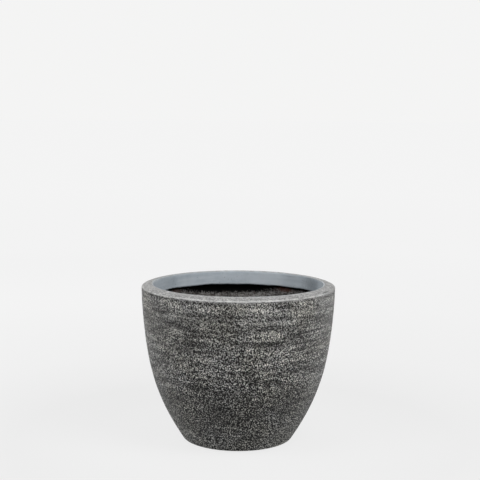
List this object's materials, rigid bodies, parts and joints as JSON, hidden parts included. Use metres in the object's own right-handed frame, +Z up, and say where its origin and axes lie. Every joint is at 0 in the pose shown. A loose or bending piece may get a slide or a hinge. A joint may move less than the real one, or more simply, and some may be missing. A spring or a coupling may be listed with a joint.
{
  "type": "bowl planter",
  "caption": "Round free-standing bowl planter with a speckled cement wall that curves in to a small foot, a smooth lip inside the mouth and a plugged drain hole.",
  "frame": {"origin": "on the floor, under the middle of the pot", "axes": "+Z up along the pot's axis; +Y away from the picture's camera, +X to its right"},
  "size_m": [0.43, 0.43, 0.35],
  "materials": {
    "face_cement": "rough, speckled and pitted, with faint level strata",
    "glass_fibre": "matt chopped-strand mat",
    "dark_backing": "rough, fibrous and matt",
    "smooth_cement": "trowelled smooth, satin",
    "plain_cement": "matt",
    "plug_rubber": "moulded, satin",
    "pad_rubber": "matt"
  },
  "bodies": {
    "pot": {"outer_shell": "face_cement", "glass_fibre_mat": "glass_fibre", "inner_lining": "dark_backing", "rim_collar": "smooth_cement", "base_slab": "plain_cement", "foot_pad_1": "pad_rubber", "foot_pad_2": "pad_rubber", "foot_pad_3": "pad_rubber", "foot_pad_4": "pad_rubber"},
    "plug": {"drain_plug": "plug_rubber"}
  },
  "joints": [
    {"name": "plug_pull", "type": "slide", "parent": "pot", "child": "plug", "axis": [0, 0, 1], "range_m": [0, 0.36]}
  ]
}
